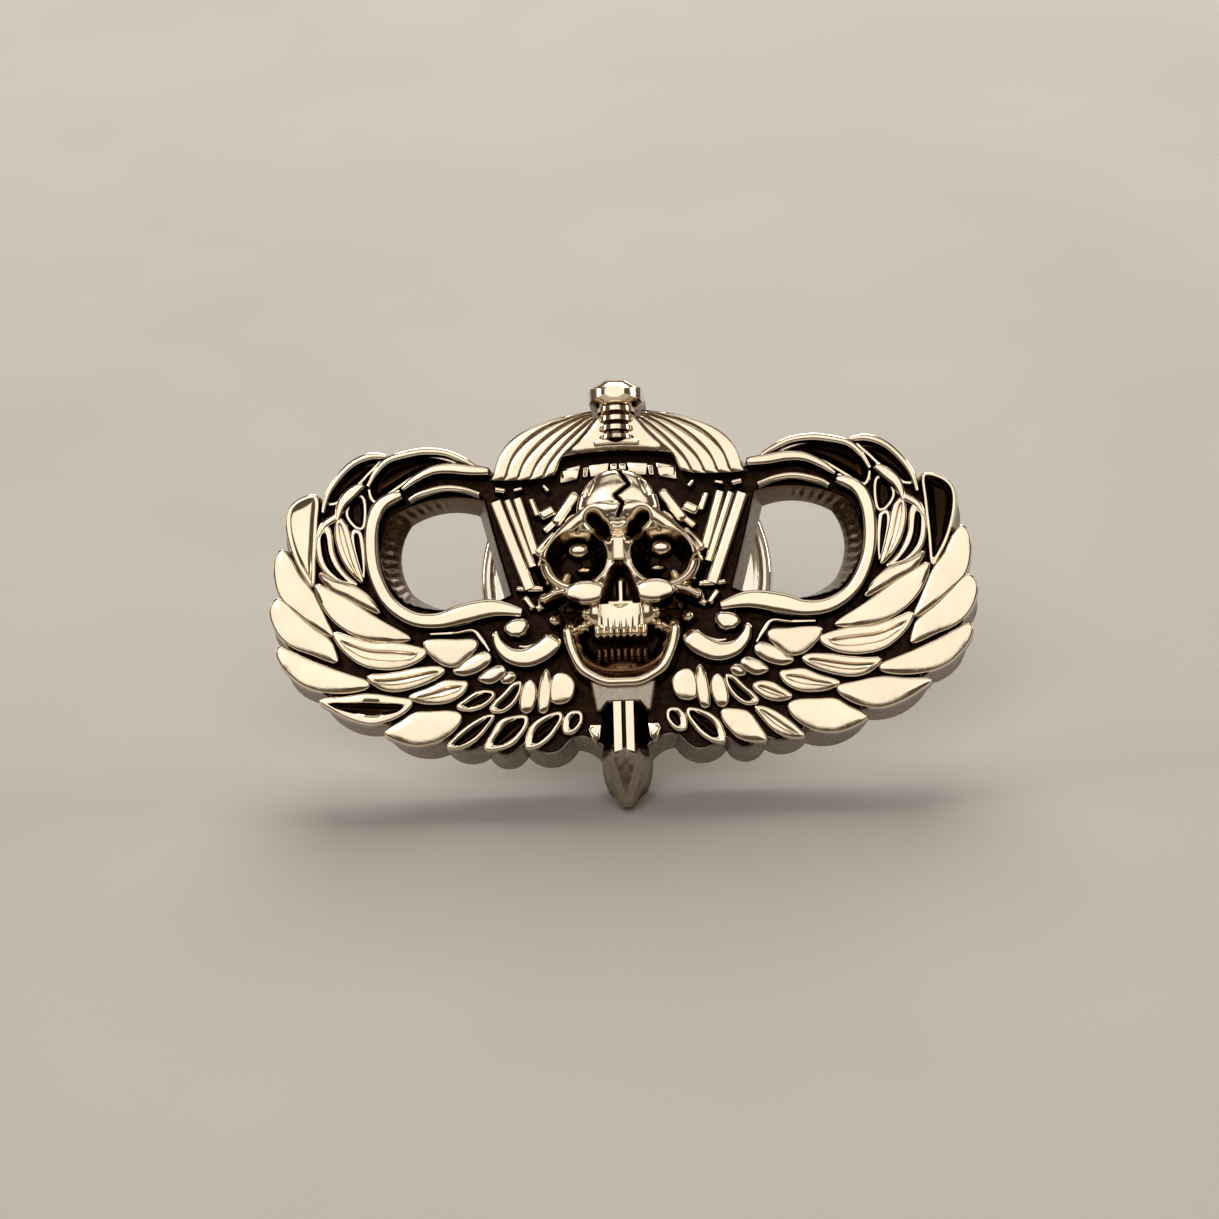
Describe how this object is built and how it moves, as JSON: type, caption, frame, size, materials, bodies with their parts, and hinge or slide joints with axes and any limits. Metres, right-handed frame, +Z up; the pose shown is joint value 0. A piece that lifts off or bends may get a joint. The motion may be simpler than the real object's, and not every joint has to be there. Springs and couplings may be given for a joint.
{
  "type": "winged badge pin with butterfly clutch",
  "caption": "Winged lapel badge with a canopy, skull and dagger in relief, held through cloth by a post and a butterfly clutch.",
  "frame": {"origin": "on the post's axis at the pad's outer face, where the cloth seats", "axes": "+X to the viewer's right across the wings, +Z up towards the pommel, +Y backwards along the post; the relief faces -Y"},
  "size_m": [0.028, 0.0123, 0.0173],
  "materials": {
    "badge_plating": "polished nickel plating over a cast alloy",
    "relief_plating": "polished nickel plating over a cast alloy",
    "post_plating": "nickel plating, drawn",
    "braze": "dull braze fillet",
    "clutch_plating": "bright nickel plated sheet",
    "lever_plating": "bright nickel plated sheet, tumbled",
    "spring_steel": "spring strip"
  },
  "bodies": {
    "body": {"wings_canopy_plate": "badge_plating", "skull_dagger_applique": "relief_plating", "post_pad": "post_plating", "post_pin": "post_plating", "pad_braze": "braze"},
    "clutch": {"clutch_disc": "clutch_plating", "clutch_cap": "clutch_plating", "clutch_spring": "spring_steel"},
    "lever_left": {"clutch_lever_left": "lever_plating"},
    "lever_right": {"clutch_lever_right": "lever_plating"}
  },
  "joints": [
    {"name": "clutch_slide", "type": "slide", "parent": "body", "child": "clutch", "axis": [0, 1, 0], "range_m": [0, 0.01]},
    {"name": "lever_right_pinch", "type": "hinge", "parent": "clutch", "child": "lever_right", "pos_m": [0.00175, 0.0041, 0], "axis": [0, 0, 1], "range_deg": [0, 8], "stiffness_Nm_per_rad": 0.01, "springref_deg": -2.86},
    {"name": "lever_left_pinch", "type": "hinge", "parent": "clutch", "child": "lever_left", "pos_m": [-0.00175, 0.0041, 0], "axis": [0, 0, -1], "range_deg": [0, 8], "stiffness_Nm_per_rad": 0.01, "springref_deg": -2.86}
  ]
}
